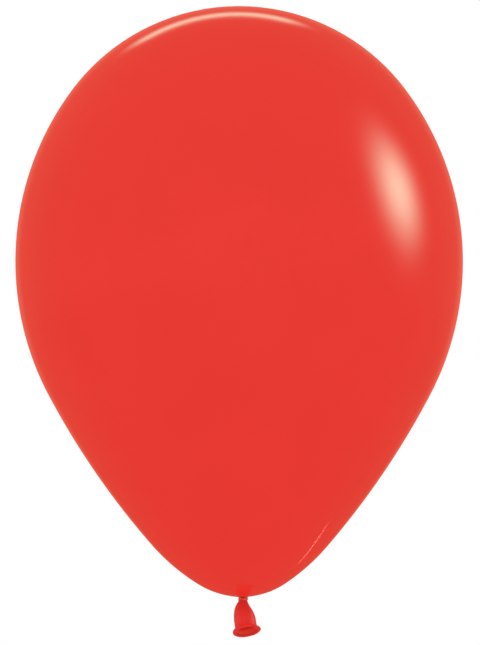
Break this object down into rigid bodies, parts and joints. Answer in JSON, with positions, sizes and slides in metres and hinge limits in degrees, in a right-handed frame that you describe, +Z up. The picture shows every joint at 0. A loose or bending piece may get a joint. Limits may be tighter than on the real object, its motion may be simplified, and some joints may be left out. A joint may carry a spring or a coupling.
{
  "type": "latex balloon",
  "caption": "Inflated pear-shaped latex party balloon, its neck tied in an overhand knot, with a short flared tail ending in a rolled lip.",
  "frame": {"origin": "the tie point: the middle of the groove between the bag and the knot, on the axis of the gathered neck", "axes": "+Z up through the bag, away from the knot; -Y is the side that the tail's mouth leans to; +X is right as seen from that side"},
  "size_m": [0.2799, 0.28, 0.3944],
  "materials": {
    "bag_latex": "gloss",
    "knot_latex": "gloss",
    "gathered_latex": "gloss",
    "tail_latex": "gloss"
  },
  "bodies": {
    "bag": {"envelope": "bag_latex", "throat": "gathered_latex"},
    "knot": {"knot_loop": "knot_latex", "knot_core": "gathered_latex"},
    "tail": {"tail_root": "gathered_latex", "tail_skirt": "tail_latex", "rolled_lip": "tail_latex"}
  },
  "joints": [
    {"name": "knot_twist", "type": "hinge", "parent": "bag", "child": "knot", "pos_m": [0, 0, 0], "axis": [0, 0, 1], "range_deg": [-90, 90], "stiffness_Nm_per_rad": 0.0005},
    {"name": "tail_bend", "type": "hinge", "parent": "knot", "child": "tail", "pos_m": [0, 0, -0.0031], "axis": [1, 0, 0], "range_deg": [-30, 70], "stiffness_Nm_per_rad": 0.0005}
  ]
}
